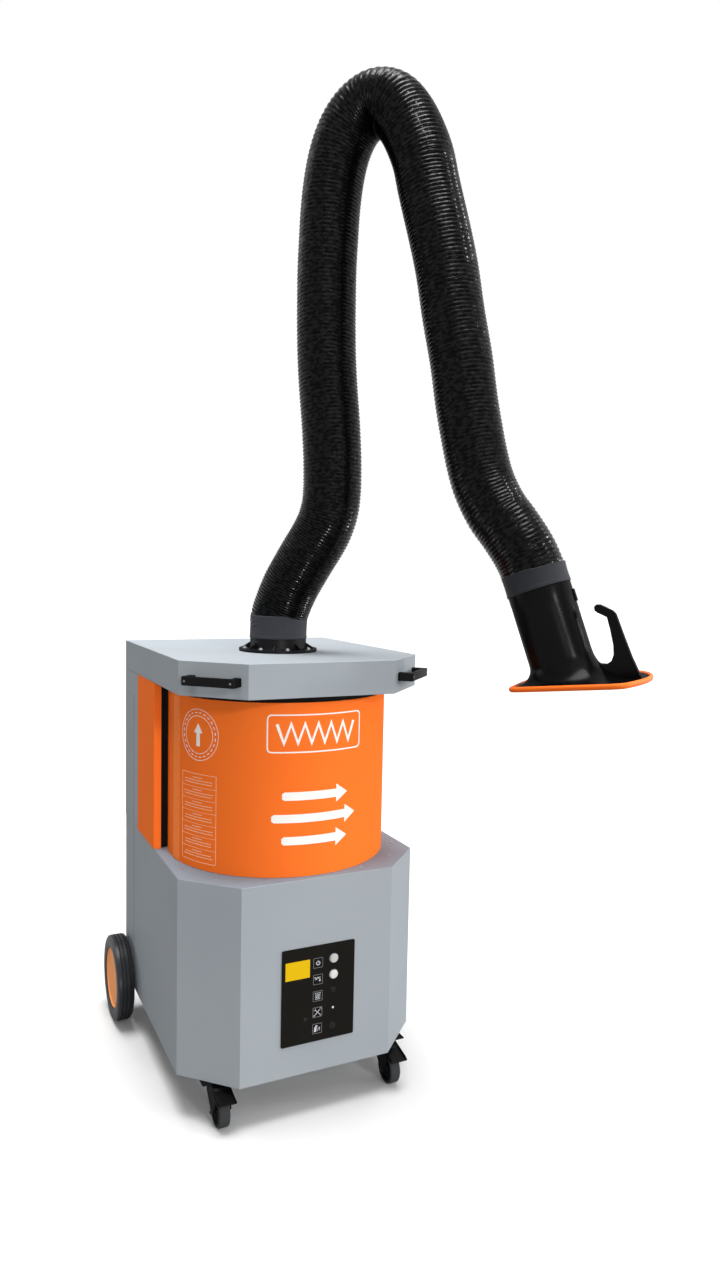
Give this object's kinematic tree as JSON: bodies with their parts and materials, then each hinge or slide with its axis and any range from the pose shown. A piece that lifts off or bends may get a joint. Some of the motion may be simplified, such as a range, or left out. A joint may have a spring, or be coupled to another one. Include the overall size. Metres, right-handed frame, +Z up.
{
  "type": "welding_fume_extractor",
  "caption": "Mobile welding fume extractor: grey cabinet on wheels with an orange filter drum, and a jointed ribbed black suction arm with a flared hood.",
  "frame": {"origin": "middle of the bounding box, seen from above, on the floor", "axes": "+Z up, -Y to the cabinet's front with the control panel, +X to the right seen from the front"},
  "size_m": [1.1038, 1.3236, 2.6213],
  "materials": {
    "grey_paint": "light blue-grey powder coat, satin",
    "orange_paint": "orange powder coat, satin",
    "orange_rubber": "orange edging profile, satin",
    "black_plastic": "moulded black plastic, fine grain",
    "black_rubber": "black solid rubber, dull",
    "hose_black": "black coated fabric, shiny and wrinkled",
    "cuff_grey": "dark grey rubber, matte",
    "bare_steel": "zinc plated steel, semi-matte",
    "zinc_sheet": "galvanised sheet, dull",
    "filter_cloth": "pleated off-white filter medium",
    "foam_black": "closed-cell sealing foam, dull",
    "panel_black": "black printed front, semi-gloss",
    "button_grey": "light grey button plastic",
    "display_yellow": "yellow cover plate, semi-gloss"
  },
  "bodies": {
    "cabinet": {"base_shell": "grey_paint", "base_shelf": "grey_paint", "base_floor": "grey_paint", "back_cover": "grey_paint", "cable_gland": "black_plastic", "rear_column": "grey_paint", "cheek_left": "orange_paint", "cheek_right": "orange_paint", "duct_wall": "black_plastic", "top_casing": "grey_paint", "filter_drum": "orange_paint", "filter_medium": "filter_cloth", "drum_seal": "foam_black", "fan_casing": "zinc_sheet", "fan_motor": "bare_steel", "control_panel": "panel_black", "display": "display_yellow", "indicator_lamp": "button_grey", "control_box": "black_plastic", "rear_axle": "bare_steel", "caster_plate_left": "bare_steel", "caster_plate_right": "bare_steel", "handle_left": "black_plastic", "handle_right": "black_plastic", "arm_flange": "black_plastic"},
    "fan": {"impeller": "zinc_sheet"},
    "start_button": {"button_start": "button_grey"},
    "stop_button": {"button_stop": "button_grey"},
    "rear_wheel_left": {"rear_tyre_left": "black_rubber", "rear_rim_left": "orange_paint"},
    "rear_wheel_right": {"rear_tyre_right": "black_rubber", "rear_rim_right": "orange_paint"},
    "caster_left": {"caster_fork_left": "black_plastic"},
    "caster_right": {"caster_fork_right": "black_plastic"},
    "caster_roller_left": {"caster_wheel_left": "black_rubber"},
    "caster_roller_right": {"caster_wheel_right": "black_rubber"},
    "pedal_left": {"caster_pedal_left": "black_plastic"},
    "pedal_right": {"caster_pedal_right": "black_plastic"},
    "turntable": {"base_cuff": "cuff_grey", "arm_carrier": "bare_steel", "shoulder_bolt": "bare_steel", "hose_base": "hose_black", "hose_shoulder": "hose_black"},
    "lower_arm": {"lower_link": "bare_steel", "elbow_low_bolt": "bare_steel", "hose_lower": "hose_black", "hose_elbow_low": "hose_black"},
    "elbow": {"elbow_plate": "bare_steel", "hose_elbow_high": "hose_black"},
    "upper_arm": {"upper_link": "bare_steel", "elbow_high_bolt": "bare_steel", "hose_upper": "hose_black", "hose_wrist": "hose_black"},
    "wrist": {"wrist_link": "bare_steel", "wrist_bolt": "bare_steel", "hood_cuff": "cuff_grey"},
    "hood": {"suction_hood": "black_plastic", "hood_rim": "orange_rubber"},
    "throttle": {"throttle_flap": "bare_steel"}
  },
  "joints": [
    {"name": "fan_spin", "type": "hinge", "parent": "cabinet", "child": "fan", "pos_m": [-0.1649, 0.15681, 0.494], "axis": [0, 0, 1], "continuous": true},
    {"name": "start_press", "type": "slide", "parent": "cabinet", "child": "start_button", "axis": [0, 1, 0], "range_m": [0, 0.003], "stiffness_N_per_m": 400, "springref_m": -0.004},
    {"name": "stop_press", "type": "slide", "parent": "cabinet", "child": "stop_button", "axis": [0, 1, 0], "range_m": [0, 0.003], "stiffness_N_per_m": 400, "springref_m": -0.004},
    {"name": "rear_wheel_left_roll", "type": "hinge", "parent": "cabinet", "child": "rear_wheel_left", "pos_m": [-0.52465, 0.53681, 0.125], "axis": [1, 0, 0], "continuous": true},
    {"name": "rear_wheel_right_roll", "type": "hinge", "parent": "cabinet", "child": "rear_wheel_right", "pos_m": [0.19485, 0.53681, 0.125], "axis": [1, 0, 0], "continuous": true},
    {"name": "caster_left_swivel", "type": "hinge", "parent": "cabinet", "child": "caster_left", "pos_m": [-0.3999, -0.07319, 0.1004], "axis": [0, 0, 1], "continuous": true},
    {"name": "caster_left_roll", "type": "hinge", "parent": "caster_left", "child": "caster_roller_left", "pos_m": [-0.3999, -0.10819, 0.04], "axis": [1, 0, 0], "continuous": true},
    {"name": "pedal_left_tip", "type": "hinge", "parent": "caster_left", "child": "pedal_left", "pos_m": [-0.3999, -0.09019, 0.0925], "axis": [1, 0, 0], "range_deg": [-12, 0]},
    {"name": "caster_right_swivel", "type": "hinge", "parent": "cabinet", "child": "caster_right", "pos_m": [0.0701, -0.07319, 0.1004], "axis": [0, 0, 1], "continuous": true},
    {"name": "caster_right_roll", "type": "hinge", "parent": "caster_right", "child": "caster_roller_right", "pos_m": [0.0701, -0.10819, 0.04], "axis": [1, 0, 0], "continuous": true},
    {"name": "pedal_right_tip", "type": "hinge", "parent": "caster_right", "child": "pedal_right", "pos_m": [0.0701, -0.09019, 0.0925], "axis": [1, 0, 0], "range_deg": [-12, 0]},
    {"name": "arm_swivel", "type": "hinge", "parent": "cabinet", "child": "turntable", "pos_m": [-0.1649, 0.15681, 1.1856], "axis": [0, 0, 1], "continuous": true},
    {"name": "shoulder", "type": "hinge", "parent": "turntable", "child": "lower_arm", "pos_m": [-0.06848, 0.04191, 1.535], "axis": [0.766, 0.6428, 0], "range_deg": [-25, 20], "deforming": ["hose_shoulder"]},
    {"name": "elbow_low", "type": "hinge", "parent": "lower_arm", "child": "elbow", "pos_m": [-0.03312, -0.00023, 2.518], "axis": [-0.766, -0.6428, 0], "range_deg": [-4, 55], "deforming": ["hose_elbow_low"]},
    {"name": "elbow_high", "type": "hinge", "parent": "elbow", "child": "upper_arm", "pos_m": [0.04722, -0.09598, 2.516], "axis": [-0.766, -0.6428, 0], "range_deg": [-4, 60], "deforming": ["hose_elbow_high"]},
    {"name": "wrist", "type": "hinge", "parent": "upper_arm", "child": "wrist", "pos_m": [0.20471, -0.28366, 1.59], "axis": [-0.766, -0.6428, 0], "range_deg": [-8, 60], "deforming": ["hose_wrist"]},
    {"name": "hood_turn", "type": "hinge", "parent": "wrist", "child": "hood", "pos_m": [0.28441, -0.37865, 1.3875], "axis": [-0.2146, 0.2557, 0.9426], "range_deg": [-160, 160]},
    {"name": "flap_turn", "type": "hinge", "parent": "hood", "child": "throttle", "pos_m": [0.30415, -0.40218, 1.30078], "axis": [0.6059, -0.7221, 0.3338], "range_deg": [0, 80]}
  ]
}
